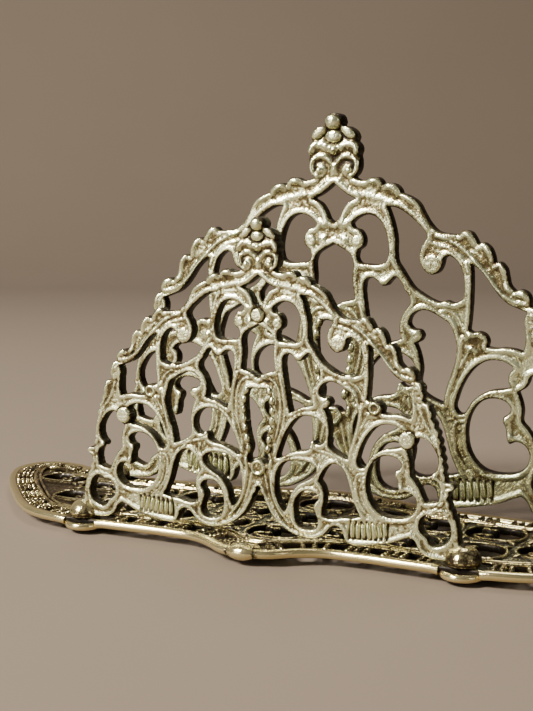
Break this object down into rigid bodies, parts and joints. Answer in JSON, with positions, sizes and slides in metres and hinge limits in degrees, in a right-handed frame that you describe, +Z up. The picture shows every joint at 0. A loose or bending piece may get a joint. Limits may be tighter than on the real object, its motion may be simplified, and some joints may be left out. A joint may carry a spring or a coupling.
{
  "type": "filigree letter rack",
  "caption": "Cast brass letter or napkin rack: a small arched openwork panel before a larger one of the same scroll pattern, on a pierced tray with a rod rim.",
  "frame": {"origin": "centre of the footprint, on the ground under the screw heads", "axes": "+X to the right seen from the front, +Y to the back (the small panel is at the front, -Y), +Z up"},
  "size_m": [0.2292, 0.0726, 0.1181],
  "materials": {
    "tray_brass": "warm gold brass, rubbed bright on the rim, brown in the hollows",
    "panel_brass": "pale greenish gold, satin on the raised borders, dark brown patina in grooves and on edges",
    "screw_brass": "dull dark brown brass"
  },
  "bodies": {
    "root": {"base_plate": "tray_brass", "front_panel": "panel_brass", "rear_panel": "panel_brass", "front_left_screw": "screw_brass", "front_right_screw": "screw_brass", "rear_left_screw": "screw_brass", "rear_right_screw": "screw_brass"}
  },
  "joints": []
}
